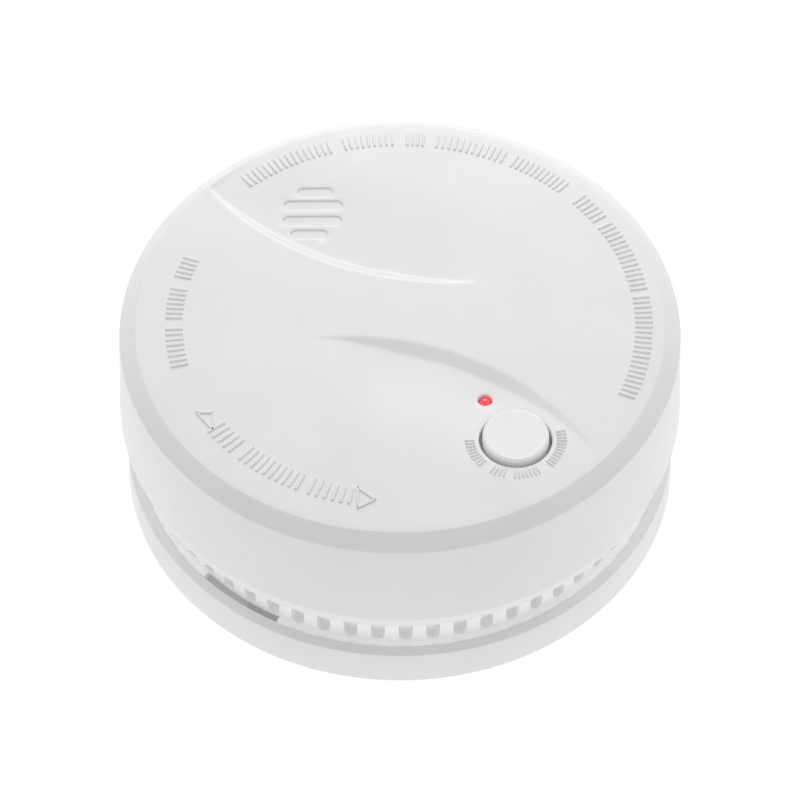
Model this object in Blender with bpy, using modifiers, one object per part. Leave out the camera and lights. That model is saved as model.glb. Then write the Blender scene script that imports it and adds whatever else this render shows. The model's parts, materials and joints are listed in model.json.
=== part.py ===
"""Twist-on ceiling smoke alarm, as an assembly of separate pieces.

The frame: the origin is the centre of the bracket's back face, +Z runs out of the ceiling
through the alarm's face, and the test button is on the -Y, +X side of the face.
All sizes below are in millimetres; MM turns them into Blender's metres.
"""
import math

import bmesh
import bpy
from mathutils import Matrix, Vector
from mathutils.geometry import interpolate_bezier

MM = 0.001
GAP = 0.3
SEGMENTS = 72

# Front cover
FACE_Z = 40.2
FACE_RADIUS = 47.55
SHOULDER_Z, SHOULDER_RADIUS = 38.05, 50.5
SKIRT_Z, SKIRT_RADIUS = 19.5, 51.4
HEM_Z, HEM_RADIUS = 16.6, 50.6
WALL = 1.8
FACE_UNDERSIDE_Z = 38.0

# Vent band: the rear housing's upright wall, with notches that the cover's inner wall closes
BAND_RADIUS = 47.2
BAND_FOOT_Z = 7.03
VENT_LOW_Z, VENT_TOP_Z = 7.7, 13.5
VENT_COUNT, VENT_WIDTH = 60, 2.5
VENT_OFFSET_DEG = 1.2
FLOOR_TOP_Z = 8.8

# Mounting bracket
BRACKET_BACK_RADIUS, BRACKET_LIP_RADIUS = 50.74, 50.46
BRACKET_WALL = 1.84
BRACKET_LIP_Z = 7.27
BRACKET_CREST_RADIUS, BRACKET_CREST_Z = 48.7, 7.9
GROOVE_RADIUS, GROOVE_Z = 47.0, 6.7
LEDGE_RADIUS = 39.5
LEDGE_LOW_Z, LEDGE_TOP_Z = 4.0, 5.6
LUG_RADIUS, LUG_DEG, LUG_THICKNESS = 30.5, 20.0, 2.0
SCREW_SEAT_Z = 2.4
SCREW_SLOT_SPACING, SCREW_SLOT_Y = 70.0, 5.0
SCREW_SLOT_LENGTH, SCREW_SLOT_WIDTH = 7.0, 4.6

# Bayonet: three feet, shown at the entry openings, which lock 15 degrees clockwise
TWIST_DEG = 15.0
FOOT_CENTRES_DEG = (-122.5, -2.5, 117.5)
FOOT_WIDTH_DEG = 8.0
FOOT_LOW_Z, TOE_TOP_Z = 2.3, 3.7
LEG_RADII, TOE_RADIUS = (44.3, 46.3), 41.6
WINDOW_DEG, WINDOW_RADIUS = 20.0, 48.45

# Battery bay, in the rear housing
BAY_X, BAY_Y = 27.6, (-27.5, 2.2)
BAY_WALL = 1.2
BAY_LOW_Z, BAY_TOP_Z = 3.6, 22.9
BATTERY_SIZE = (46.4, 26.5, 17.5)
BATTERY_MIDDLE = (-2.8, -12.65, 12.65)
DOOR_LOW_Z, DOOR_TOP_Z = 1.8, 3.3
HINGE_Y, HINGE_Z = 4.2, 3.0
PIN_RADIUS, PIN_HOLE_RADIUS, KNUCKLE_RADIUS = 0.6, 0.9, 1.6
DOOR_KNUCKLE_LENGTH = 16.4
HINGE_LUG_X, HINGE_LUG_WIDTH = 10.9, 4.5
LEADS = (("battery_lead_red", "lead_red", -8.65), ("battery_lead_black", "lead_black", -16.65))
LEAD_RADIUS, LEAD_HOLE_RADIUS, LEAD_TOP_X = 0.65, 1.6, 22.6

# Circuit board and what stands on it
BOARD_RADIUS = 43.0
BOARD_LOW_Z, BOARD_TOP_Z = 25.0, 26.6
ON_BOARD_Z = BOARD_TOP_Z + GAP
POST_RADIUS, POST_HOLE_RADIUS = 2.6, 1.5
HOUSING_POSTS = ((32.6, 15.2), (-32.6, 15.2), (0.0, -36.0))
BOARD_POSTS = ((35.0, -8.0), (-35.0, -8.0))

# Smoke chamber, under the board and level with the vents
CHAMBER = (0.0, 23.5)
CHAMBER_RADIUS = 20.4
CHAMBER_LOW_Z, CHAMBER_LID_Z = 9.1, 22.9
BLADE_COUNT = 18
SENSOR_Z = 17.0
SENSOR_DISTANCE = 9.5
SENSOR_ANGLES_DEG = (155.0, 25.0)

# Horn, under the grille
HORN = (-15.6, 25.6)
HORN_RADIUS = 14.0
HORN_LOW_Z, HORN_TOP_Z = 27.2, 37.4

# Button, lamp and grille on the face
BUTTON = (20.3, -26.9)
BUTTON_RADIUS, BUTTON_HOLE_RADIUS = 5.85, 6.45
BUTTON_TOP_Z = 41.1
LAMP = (15.05, -17.7)
LAMP_RADIUS, LAMP_HOLE_RADIUS, LAMP_TOP_Z = 1.2, 1.5, 39.0
GRILLE_Y = (30.9, 27.85, 24.2, 21.0)
GRILLE_X = (0.0, -0.4, -0.5, -1.0)
GRILLE_LENGTHS = (6.6, 10.8, 10.8, 6.8)
GRILLE_WIDTH, GRILLE_DEPTH = 2.1, 0.3

# Two shallow scoops in the face: arc centre, arc radius, the arc's middle direction, its sagitta
SCOOPS = (
    ((-9.3, -53.0), 49.2, 63.0, 9.0),
    ((9.3, 64.0), 55.1, -110.0, 6.5),
)
SCOOP_DEPTH, SCOOP_SLOPE_DEG = 1.0, 23.0

# Pan-head screws
SCREW_RADIUS, SCREW_HEAD_RADIUS, SCREW_HEAD_HEIGHT = 1.2, 2.4, 1.4


# ---------------------------------------------------------------- scene, looks and naming

def clear_scene():
    for obj in list(bpy.data.objects):
        bpy.data.objects.remove(obj, do_unlink=True)


def new_collection(name):
    collection = bpy.data.collections.new(name)
    bpy.context.scene.collection.children.link(collection)
    return collection


def make_material(name, colour, roughness, metallic=0.0):
    material = bpy.data.materials.new(name)
    material.use_nodes = True
    shader = material.node_tree.nodes["Principled BSDF"]
    shader.inputs["Base Color"].default_value = (*colour, 1.0)
    shader.inputs["Roughness"].default_value = roughness
    shader.inputs["Metallic"].default_value = metallic
    return material


def place(obj, name, look):
    """Gives a finished object its name and material, and files it with the alarm's pieces."""
    obj.name = name
    obj.data.name = name
    obj.data.materials.clear()
    obj.data.materials.append(LOOKS[look])
    for collection in list(obj.users_collection):
        collection.objects.unlink(obj)
    PIECES.objects.link(obj)
    return obj


def hide_as_cutter(obj):
    for collection in list(obj.users_collection):
        collection.objects.unlink(obj)
    CUTTERS.objects.link(obj)
    obj.hide_render = True
    obj.display_type = "WIRE"


# ---------------------------------------------------------------- shapes

def object_from(mesh, name):
    obj = bpy.data.objects.new(name, mesh)
    bpy.context.scene.collection.objects.link(obj)
    return obj


def shade(obj, angle_deg=35.0):
    obj.data.shade_smooth()
    obj.data.set_sharp_from_angle(angle=math.radians(angle_deg))
    return obj


def turned(profile, centre=(0.0, 0.0), segments=SEGMENTS, ring=False):
    """A turned solid: (radius, z) points that run down the outer side, or a closed ring of them."""
    mesh = bpy.data.meshes.new("profile")
    points = [(r * MM, 0.0, z * MM) for r, z in profile]
    edges = [(i, i + 1) for i in range(len(points) - 1)]
    if ring:
        edges.append((len(points) - 1, 0))
    mesh.from_pydata(points, edges, [])
    obj = object_from(mesh, "turned")
    screw = obj.modifiers.new("turn", "SCREW")
    screw.axis = "Z"
    screw.steps = segments
    screw.render_steps = segments
    screw.use_merge_vertices = True
    screw.merge_threshold = 0.00001
    screw.use_smooth_shade = True
    obj.location = (centre[0] * MM, centre[1] * MM, 0.0)
    return obj


def cylinder(radius, z_low, z_high, centre=(0.0, 0.0), segments=32):
    bpy.ops.mesh.primitive_cylinder_add(
        vertices=segments, radius=radius * MM, depth=(z_high - z_low) * MM,
        location=(centre[0] * MM, centre[1] * MM, (z_low + z_high) / 2 * MM))
    return shade(bpy.context.object)


def block(size, centre, bevel=0.0, turn_deg=0.0):
    """A box of a size about a centre, with its edges bevelled and a turn about Z."""
    bpy.ops.mesh.primitive_cube_add(size=1.0)
    obj = bpy.context.object
    obj.data.transform(Matrix.Diagonal((*[s * MM for s in size], 1.0)))
    obj.rotation_euler.z = math.radians(turn_deg)
    obj.location = Vector(centre) * MM
    if bevel:
        edge = obj.modifiers.new("edges", "BEVEL")
        edge.width = bevel * MM
        edge.segments = 1
    return obj


def outline_solid(points, z_low, z_high):
    """A flat plate with any outline, made from a filled curve and turned into a welded mesh."""
    curve = bpy.data.curves.new("outline", "CURVE")
    curve.dimensions = "2D"
    curve.fill_mode = "BOTH"
    curve.extrude = (z_high - z_low) / 2 * MM
    spline = curve.splines.new("POLY")
    spline.points.add(len(points) - 1)
    for point, (x, y) in zip(spline.points, points):
        point.co = (x * MM, y * MM, 0.0, 1.0)
    spline.use_cyclic_u = True
    guide = object_from(curve, "outline")
    guide.location.z = (z_low + z_high) / 2 * MM
    bpy.context.view_layer.update()
    graph = bpy.context.evaluated_depsgraph_get()
    mesh = bpy.data.meshes.new_from_object(guide.evaluated_get(graph))
    mesh.transform(guide.matrix_world)
    bpy.data.objects.remove(guide)
    work = bmesh.new()
    work.from_mesh(mesh)
    bmesh.ops.remove_doubles(work, verts=work.verts, dist=0.000001)
    bmesh.ops.recalc_face_normals(work, faces=work.faces)
    work.to_mesh(mesh)
    work.free()
    return object_from(mesh, "plate")


def arc(radius, start_deg, end_deg, steps, centre=(0.0, 0.0)):
    angles = [start_deg + (end_deg - start_deg) * i / steps for i in range(steps + 1)]
    return [(centre[0] + radius * math.cos(math.radians(a)),
             centre[1] + radius * math.sin(math.radians(a))) for a in angles]


def sector(inner, outer, z_low, z_high, middle_deg, width_deg):
    """A piece of a flat ring, between two radii and across an angle."""
    start, end = middle_deg - width_deg / 2, middle_deg + width_deg / 2
    steps = max(2, round(width_deg / 3))
    return outline_solid(arc(outer, start, end, steps) + arc(inner, end, start, steps), z_low, z_high)


def stadium(length, width, steps=6):
    """The outline of a slot with round ends, lying along X about the origin."""
    reach = (length - width) / 2
    return (arc(width / 2, -90, 90, steps, (reach, 0.0))
            + arc(width / 2, 90, 270, steps, (-reach, 0.0)))


def moved(points, shift, turn_deg=0.0):
    c, s = math.cos(math.radians(turn_deg)), math.sin(math.radians(turn_deg))
    return [(shift[0] + c * x - s * y, shift[1] + s * x + c * y) for x, y in points]


def copies_about_axis(obj, angles_deg):
    """Repeats an object's mesh about the Z axis, as separate bodies of one cutter or one set."""
    single = bmesh.new()
    single.from_mesh(obj.data)
    single.transform(obj.matrix_basis)
    pattern = bpy.data.meshes.new("pattern")
    single.to_mesh(pattern)
    single.free()
    whole = bmesh.new()
    for angle in angles_deg:
        copy = pattern.copy()
        copy.transform(Matrix.Rotation(math.radians(angle), 4, "Z"))
        whole.from_mesh(copy)
    whole.to_mesh(pattern)
    whole.free()
    bpy.data.objects.remove(obj)
    return object_from(pattern, "set")


def combine(target, tool, operation):
    modifier = target.modifiers.new(operation.lower(), "BOOLEAN")
    modifier.operation = operation
    modifier.solver = "EXACT"
    modifier.object = tool
    hide_as_cutter(tool)


def cut(target, tool):
    combine(target, tool, "DIFFERENCE")


def add(target, tool):
    combine(target, tool, "UNION")


def wire(points, radius):
    """A round wire through points, on a smooth curve, with closed ends."""
    curve = bpy.data.curves.new("wire", "CURVE")
    curve.dimensions = "3D"
    curve.bevel_depth = radius * MM
    curve.bevel_resolution = 2
    curve.use_fill_caps = True
    spline = curve.splines.new("POLY")
    spline.points.add(len(points) - 1)
    for point, place_mm in zip(spline.points, points):
        point.co = (*(Vector(place_mm) * MM), 1.0)
    return object_from(curve, "wire")


def smooth_route(start, end, steps=8):
    """Points from start up to end that leave and arrive along Z, with a soft bend between."""
    first, last = Vector(start), Vector(end)
    rise = Vector((0.0, 0.0, (last.z - first.z) / 2))
    return interpolate_bezier(first, first + rise, last - rise, last, steps + 1)


# ---------------------------------------------------------------- bracket and seal

def add_screw_lug(ring, side):
    """A lug that lies on the ceiling, with a raised seat for a screw's head round its slot."""
    slot_x = side * SCREW_SLOT_SPACING / 2
    middle_deg = math.degrees(math.atan2(SCREW_SLOT_Y, slot_x))
    lug_end = BRACKET_BACK_RADIUS - BRACKET_WALL + 0.6
    add(ring, sector(LUG_RADIUS, lug_end, 0.0, LUG_THICKNESS, middle_deg, LUG_DEG))
    seat_low = LUG_THICKNESS - 0.4
    add(ring, sector(LUG_RADIUS + 0.3, LEDGE_RADIUS - 0.3, seat_low, SCREW_SEAT_Z, middle_deg, LUG_DEG - 3.0))
    slot = moved(stadium(SCREW_SLOT_LENGTH, SCREW_SLOT_WIDTH), (slot_x, SCREW_SLOT_Y))
    cut(ring, outline_solid(slot, -1.0, SCREW_SEAT_Z + 1.0))


def cut_bayonet_openings(ring):
    """For each foot: a way in, a channel that its leg turns along, and a window in the groove."""
    edge_deg = FOOT_CENTRES_DEG[0] + FOOT_WIDTH_DEG / 2 + 1.0
    channel_deg = TWIST_DEG + FOOT_WIDTH_DEG + 3.0
    entry_deg = FOOT_WIDTH_DEG + 3.0
    openings = (
        (LEG_RADII[0] - 0.4, LEG_RADII[1] + 0.4, channel_deg),
        (TOE_RADIUS - 0.4, LEG_RADII[0] + 0.2, entry_deg),
        (LEG_RADII[1] - 0.2, WINDOW_RADIUS, WINDOW_DEG),
    )
    spread = [centre - FOOT_CENTRES_DEG[0] for centre in FOOT_CENTRES_DEG]
    for low_r, high_r, width in openings:
        middle_deg = edge_deg - width / 2
        opening = sector(low_r, high_r, LEDGE_LOW_Z - 0.5, BRACKET_CREST_Z + 1.0, middle_deg, width)
        cut(ring, copies_about_axis(opening, spread))


def make_bracket():
    inner = BRACKET_BACK_RADIUS - BRACKET_WALL
    ring = turned([
        (BRACKET_LIP_RADIUS, BRACKET_LIP_Z), (BRACKET_BACK_RADIUS, 0.0), (inner, 0.0),
        (inner, LEDGE_LOW_Z), (LEDGE_RADIUS, LEDGE_LOW_Z), (LEDGE_RADIUS, LEDGE_TOP_Z),
        (GROOVE_RADIUS, LEDGE_TOP_Z), (GROOVE_RADIUS, GROOVE_Z), (WINDOW_RADIUS, GROOVE_Z),
        (BRACKET_CREST_RADIUS, BRACKET_CREST_Z),
    ], ring=True)
    for side in (1, -1):
        add_screw_lug(ring, side)
    cut_bayonet_openings(ring)
    place(ring, "mounting_bracket", "bracket_white")


def make_seal():
    inner, outer, low, high = 40.3, 43.4, 5.9, 6.7
    seal = turned([(outer, high), (outer, low), (inner, low), (inner, high)], segments=48, ring=True)
    place(seal, "draught_seal", "seal_grey")


# ---------------------------------------------------------------- cover

def scoop_cutter(centre, radius, middle_deg, sagitta):
    """A wide cone frustum, tilted so that it bites a crescent out of the face along one arc."""
    slope = SCOOP_DEPTH / math.tan(math.radians(SCOOP_SLOPE_DEG))
    height = 6.0
    low_radius = radius - slope
    high_radius = low_radius + height / math.tan(math.radians(SCOOP_SLOPE_DEG))
    bpy.ops.mesh.primitive_cone_add(
        vertices=128, radius1=low_radius * MM, radius2=high_radius * MM, depth=height * MM)
    tool = bpy.context.object
    angle = math.radians(middle_deg)
    outward = Vector((math.cos(angle), math.sin(angle), 0.0))
    middle = Vector((*centre, FACE_Z - SCOOP_DEPTH + height / 2)) * MM
    pivot = Vector((*centre, FACE_Z - SCOOP_DEPTH)) * MM + outward * low_radius * MM
    tilt = math.atan2(SCOOP_DEPTH, sagitta - slope)
    axis = outward.cross(Vector((0.0, 0.0, 1.0)))
    turn = Matrix.Rotation(-tilt, 4, axis)
    tool.matrix_world = Matrix.Translation(pivot) @ turn @ Matrix.Translation(middle - pivot)
    return tool


def make_cover():
    inner_wall = BAND_RADIUS - WALL
    cover = turned([
        (0.0, FACE_Z), (FACE_RADIUS, FACE_Z), (SHOULDER_RADIUS, SHOULDER_Z), (SKIRT_RADIUS, SKIRT_Z),
        (HEM_RADIUS, HEM_Z), (BAND_RADIUS, HEM_Z), (BAND_RADIUS, VENT_TOP_Z + GAP),
        (inner_wall, VENT_TOP_Z + GAP), (inner_wall, HEM_Z + WALL), (HEM_RADIUS - WALL, HEM_Z + WALL),
        (SHOULDER_RADIUS - WALL, SHOULDER_Z - 1.0), (FACE_RADIUS - 0.7, FACE_UNDERSIDE_Z),
        (0.0, FACE_UNDERSIDE_Z),
    ])
    for post in HOUSING_POSTS:
        add(cover, cylinder(POST_RADIUS, FLOOR_TOP_Z + GAP, FACE_UNDERSIDE_Z + 0.2, post, 18))
        cut(cover, cylinder(POST_HOLE_RADIUS, FLOOR_TOP_Z, 20.0, post, 12))
    for post in BOARD_POSTS:
        add(cover, cylinder(POST_RADIUS, ON_BOARD_Z, FACE_UNDERSIDE_Z + 0.2, post, 18))
        cut(cover, cylinder(POST_HOLE_RADIUS, BOARD_TOP_Z, 34.5, post, 12))
    for scoop in SCOOPS:
        cut(cover, scoop_cutter(*scoop))
    cut(cover, cylinder(BUTTON_HOLE_RADIUS, FACE_UNDERSIDE_Z - 1.0, FACE_Z + 1.0, BUTTON, 48))
    cut(cover, cylinder(LAMP_HOLE_RADIUS, FACE_UNDERSIDE_Z - 1.0, FACE_Z + 1.0, LAMP, 20))
    for x, y, length in zip(GRILLE_X, GRILLE_Y, GRILLE_LENGTHS):
        pocket = moved(stadium(length, GRILLE_WIDTH), (HORN[0] + x, y))
        cut(cover, outline_solid(pocket, FACE_Z - SCOOP_DEPTH / 2 - GRILLE_DEPTH, FACE_Z + 1.0))
    place(cover, "front_cover", "cover_white")


# ---------------------------------------------------------------- rear housing and battery door

def vent_cutter():
    """One notch that is round below and open above, repeated all round the band."""
    half = VENT_WIDTH / 2
    bottom = arc(half, 180, 360, 4, (0.0, VENT_LOW_Z + half))
    outline = bottom + [(half, VENT_TOP_Z + 1.0), (-half, VENT_TOP_Z + 1.0)]
    tool = outline_solid(outline, BAND_RADIUS - WALL - 0.15, BAND_RADIUS + 0.5)
    tool.data.transform(Matrix(((1, 0, 0, 0), (0, 0, -1, 0), (0, 1, 0, 0), (0, 0, 0, 1))))
    pitch = 360.0 / VENT_COUNT
    return copies_about_axis(tool, [VENT_OFFSET_DEG + pitch * i for i in range(VENT_COUNT)])


def add_battery_bay(housing):
    bay_y = (BAY_Y[0] + BAY_Y[1]) / 2
    bay_z = (BAY_LOW_Z + BAY_TOP_Z) / 2
    size = (2 * BAY_X, BAY_Y[1] - BAY_Y[0], BAY_TOP_Z - BAY_LOW_Z)
    add(housing, block(size, (0.0, bay_y, bay_z)))
    hollow = (size[0] - 2 * BAY_WALL, size[1] - 2 * BAY_WALL, size[2])
    cut(housing, block(hollow, (0.0, bay_y, bay_z - BAY_WALL)))
    for _, _, lead_y in LEADS:
        cut(housing, cylinder(LEAD_HOLE_RADIUS, BAY_TOP_Z - 3.0, BAY_TOP_Z + 1.0, (LEAD_TOP_X, lead_y), 16))


def add_hinge_lugs(housing):
    top = BAND_FOOT_Z + 0.4
    for side in (-1, 1):
        lug_x = side * HINGE_LUG_X
        size = (HINGE_LUG_WIDTH - 0.2, 2 * KNUCKLE_RADIUS - 0.2, top - HINGE_Z)
        add(housing, block(size, (lug_x, HINGE_Y, (top + HINGE_Z) / 2)))
        knuckle = hinge_rod(KNUCKLE_RADIUS, HINGE_LUG_WIDTH, 24)
        knuckle.location.x = lug_x * MM
        add(housing, knuckle)


def make_housing():
    inner_wall = BAND_RADIUS - WALL
    housing = turned([
        (0.0, FLOOR_TOP_Z), (inner_wall, FLOOR_TOP_Z), (inner_wall, VENT_TOP_Z),
        (BAND_RADIUS, VENT_TOP_Z), (BAND_RADIUS, BAND_FOOT_Z), (0.0, BAND_FOOT_Z),
    ])
    add_battery_bay(housing)
    for foot_deg in FOOT_CENTRES_DEG:
        add(housing, sector(*LEG_RADII, FOOT_LOW_Z + 0.3, BAND_FOOT_Z + 0.4, foot_deg, FOOT_WIDTH_DEG))
        toe_deg = FOOT_WIDTH_DEG - 0.8
        add(housing, sector(TOE_RADIUS, LEG_RADII[0] + 0.5, FOOT_LOW_Z, TOE_TOP_Z, foot_deg, toe_deg))
    for post in HOUSING_POSTS:
        cut(housing, cylinder(SCREW_RADIUS + 0.4, BAND_FOOT_Z - 1.0, FLOOR_TOP_Z + 0.2, post, 16))
    add_hinge_lugs(housing)
    cut(housing, hinge_rod(PIN_HOLE_RADIUS, 30.0, 16))
    cut(housing, vent_cutter())
    place(housing, "rear_housing", "cover_white")


def hinge_rod(radius, length, segments):
    rod = cylinder(radius, -length / 2, length / 2, (0.0, 0.0), segments)
    rod.rotation_euler.y = math.radians(90.0)
    rod.location = (0.0, HINGE_Y * MM, HINGE_Z * MM)
    return rod


def make_battery_door():
    """The door's origin is on its hinge axis."""
    middle_z = (DOOR_LOW_Z + DOOR_TOP_Z) / 2
    size = (2 * BAY_X, BAY_Y[1] - BAY_Y[0], DOOR_TOP_Z - DOOR_LOW_Z)
    door = block(size, (0.0, (BAY_Y[0] + BAY_Y[1]) / 2, middle_z))
    hinge = Vector((0.0, HINGE_Y, HINGE_Z)) * MM
    door.data.transform(Matrix.Translation(door.location - hinge))
    door.location = hinge
    add(door, hinge_rod(KNUCKLE_RADIUS, DOOR_KNUCKLE_LENGTH, 24))
    add(door, block((DOOR_KNUCKLE_LENGTH, 3.0, size[2]), (0.0, 2.9, middle_z)))
    add(door, block((10.0, 1.6, 1.1), (0.0, BAY_Y[0] - 0.6, DOOR_LOW_Z + 0.55)))
    cut(door, hinge_rod(PIN_HOLE_RADIUS, 30.0, 16))
    for rib in (-1.8, 0.0, 1.8):
        cut(door, block((12.0, 0.8, 0.8), (0.0, BAY_Y[0] + 5.0 + rib, DOOR_LOW_Z)))
    place(door, "battery_door", "cover_white")
    place(hinge_rod(PIN_RADIUS, 26.0, 16), "door_hinge_pin", "steel")


# ---------------------------------------------------------------- battery

def make_battery():
    x, y, z = BATTERY_MIDDLE
    place(block(BATTERY_SIZE, BATTERY_MIDDLE, 1.6), "battery_case", "battery_jacket")
    end_x = x + BATTERY_SIZE[0] / 2 + GAP
    for name, offset, radius, sides in (
            ("battery_terminal_positive", 6.35, 2.9, 24), ("battery_terminal_negative", -6.35, 4.2, 6)):
        terminal = cylinder(radius, 0.0, 1.9, (0.0, 0.0), sides)
        terminal.matrix_world = (Matrix.Translation(Vector((end_x + 0.95, y + offset, z)) * MM)
                                 @ Matrix.Rotation(math.radians(90.0), 4, "Y"))
        place(terminal, name, "plated_steel")
    snap_x = end_x + 1.9 + GAP
    place(block((2.6, 25.0, 11.6), (snap_x + 1.3, y, z), 0.5), "snap_connector", "connector_black")
    for name, look, lead_y in LEADS:
        start = (snap_x + 1.3, lead_y, z + 5.8 + GAP)
        route = smooth_route(start, (LEAD_TOP_X, lead_y, BOARD_LOW_Z - GAP))
        place(wire(route, LEAD_RADIUS), name, look)


# ---------------------------------------------------------------- circuit board

def make_board():
    board = cylinder(BOARD_RADIUS, BOARD_LOW_Z, BOARD_TOP_Z, (0.0, 0.0), 60)
    for post in HOUSING_POSTS:
        cut(board, cylinder(POST_RADIUS + 0.6, BOARD_LOW_Z - 1.0, BOARD_TOP_Z + 1.0, post, 20))
    for post in BOARD_POSTS:
        cut(board, cylinder(1.6, BOARD_LOW_Z - 1.0, BOARD_TOP_Z + 1.0, post, 16))
    place(board, "main_pcb", "board_green")


def make_board_parts():
    for name, size, spot in (
            ("controller_chip", (10.4, 7.4, 2.2), (17.0, 13.0)),
            ("horn_driver_chip", (6.4, 8.6, 2.0), (3.0, 8.0))):
        place(block(size, (*spot, ON_BOARD_Z + size[2] / 2), 0.3), name, "chip_black")
    for name, radius, height, spot in (
            ("supply_capacitor", 3.2, 8.0, (29.0, 4.0)), ("filter_capacitor", 2.5, 6.5, (25.0, 24.0))):
        place(capacitor(radius, height, spot), name, "capacitor_sleeve")
    place(cylinder(3.8, ON_BOARD_Z, ON_BOARD_Z + 8.0, (9.0, 33.0), 24), "horn_inductor", "chip_black")
    for number, y in enumerate((-8.0, -12.0, -16.0), start=1):
        place(resistor((-6.0, y)), f"resistor_{number}", "resistor_tan")


def capacitor(radius, height, centre):
    """A can with a rolled groove near its foot."""
    low, high = ON_BOARD_Z, ON_BOARD_Z + height
    groove = radius - 0.3
    profile = [(0.0, high), (radius - 0.4, high), (radius, high - 0.4), (radius, low + 1.6),
               (groove, low + 1.3), (groove, low + 0.9), (radius, low + 0.6), (radius, low), (0.0, low)]
    return turned(profile, centre, 16)


def resistor(centre):
    """An axial resistor lying along X: a waisted body, turned about its own axis."""
    half = 3.1
    profile = [(0.0, half), (1.0, half), (1.25, half - 0.5), (1.25, half - 1.3), (1.0, half - 1.8),
               (1.0, 1.8 - half), (1.25, 1.3 - half), (1.25, 0.5 - half), (1.0, -half), (0.0, -half)]
    body = turned(profile, (0.0, 0.0), 12)
    body.rotation_euler.y = math.radians(90.0)
    body.location = Vector((*centre, ON_BOARD_Z + 1.35)) * MM
    return body


def make_lamp():
    led_top = ON_BOARD_Z + 4.2
    profile = [(0.0, led_top), (0.8, led_top - 0.25), (1.5, led_top - 1.2), (1.5, ON_BOARD_Z + 0.9),
               (1.8, ON_BOARD_Z + 0.9), (1.8, ON_BOARD_Z), (0.0, ON_BOARD_Z)]
    place(turned(profile, LAMP, 20), "status_led", "led_red")
    top = LAMP_TOP_Z
    rod = [(0.0, top), (0.65, top - 0.12), (1.05, top - 0.42), (LAMP_RADIUS, top - 0.85),
           (LAMP_RADIUS, led_top + GAP), (0.0, led_top + GAP)]
    place(turned(rod, LAMP, 20), "led_light_pipe", "led_red")


def make_test_switch():
    """The button, the small switch below it, and the switch's own plunger."""
    top, flange = BUTTON_TOP_Z, FACE_UNDERSIDE_Z - 0.6
    button = turned([
        (0.0, top), (BUTTON_RADIUS - 0.45, top), (BUTTON_RADIUS, top - 0.45), (BUTTON_RADIUS, flange),
        (7.4, flange), (7.4, flange - 1.2), (1.6, flange - 1.2), (1.6, 32.0), (0.0, 32.0),
    ], BUTTON, 36)
    place(button, "test_button", "button_white")
    body = block((6.2, 6.2, 3.2), (*BUTTON, ON_BOARD_Z + 1.6), 0.3)
    cut(body, cylinder(2.0, ON_BOARD_Z + 1.7, ON_BOARD_Z + 4.0, BUTTON, 20))
    place(body, "test_switch_body", "chip_black")
    place(cylinder(1.7, 29.2, 31.1, BUTTON, 20), "test_switch_plunger", "chip_black")


# ---------------------------------------------------------------- smoke chamber

def chamber_point(distance, angle_deg):
    angle = math.radians(angle_deg)
    return (CHAMBER[0] + distance * math.cos(angle), CHAMBER[1] + distance * math.sin(angle))


def lying_cylinder(radius, length, centre, z, angle_deg, segments=20):
    rod = cylinder(radius, -length / 2, length / 2, (0.0, 0.0), segments)
    rod.rotation_euler = (0.0, math.radians(90.0), math.radians(angle_deg))
    rod.location = Vector((*centre, z)) * MM
    return rod


def make_chamber_base():
    """The plate under the board, with a holder for the emitter and one for the receiver."""
    base = cylinder(CHAMBER_RADIUS, CHAMBER_LID_Z, BOARD_LOW_Z - GAP, CHAMBER, 48)
    for angle in SENSOR_ANGLES_DEG:
        spot = chamber_point(SENSOR_DISTANCE, angle)
        low = SENSOR_Z - 3.8
        add(base, block((7.6, 7.6, CHAMBER_LID_Z + 0.4 - low),
                        (*spot, (CHAMBER_LID_Z + 0.4 + low) / 2), 0.0, angle))
        cut(base, lying_cylinder(2.8, 12.0, spot, SENSOR_Z, angle))
    place(base, "chamber_base", "chamber_black")


def make_chamber_cap():
    """The light trap: a floor with a ring of slanted blades that air passes but light does not."""
    cap = cylinder(CHAMBER_RADIUS - 0.8, CHAMBER_LOW_Z, CHAMBER_LOW_Z + 1.4, CHAMBER, 48)
    top = CHAMBER_LID_Z - GAP
    blade = block((5.0, 0.9, top - CHAMBER_LOW_Z - 1.0),
                  (17.0, 0.0, (top + CHAMBER_LOW_Z + 1.0) / 2), 0.0, 52.0)
    blade.data.transform(blade.matrix_basis)
    blade.matrix_basis = Matrix.Identity(4)
    blades = copies_about_axis(blade, [360.0 / BLADE_COUNT * i for i in range(BLADE_COUNT)])
    blades.location = Vector((*CHAMBER, 0.0)) * MM
    add(cap, blades)
    place(cap, "chamber_cap", "chamber_black")


def make_chamber():
    make_chamber_base()
    make_chamber_cap()
    screen = turned([(CHAMBER_RADIUS, 22.6), (CHAMBER_RADIUS, 9.1), (20.0, 9.1), (20.0, 22.6)],
                    CHAMBER, 40, ring=True)
    place(screen, "insect_screen", "steel")
    for name, angle, look in (("ir_emitter", SENSOR_ANGLES_DEG[0], "lens_clear"),
                              ("photodiode", SENSOR_ANGLES_DEG[1], "lens_dark")):
        spot = chamber_point(SENSOR_DISTANCE, angle)
        place(lying_cylinder(2.5, 6.4, spot, SENSOR_Z, angle), name, look)


# ---------------------------------------------------------------- horn

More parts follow.
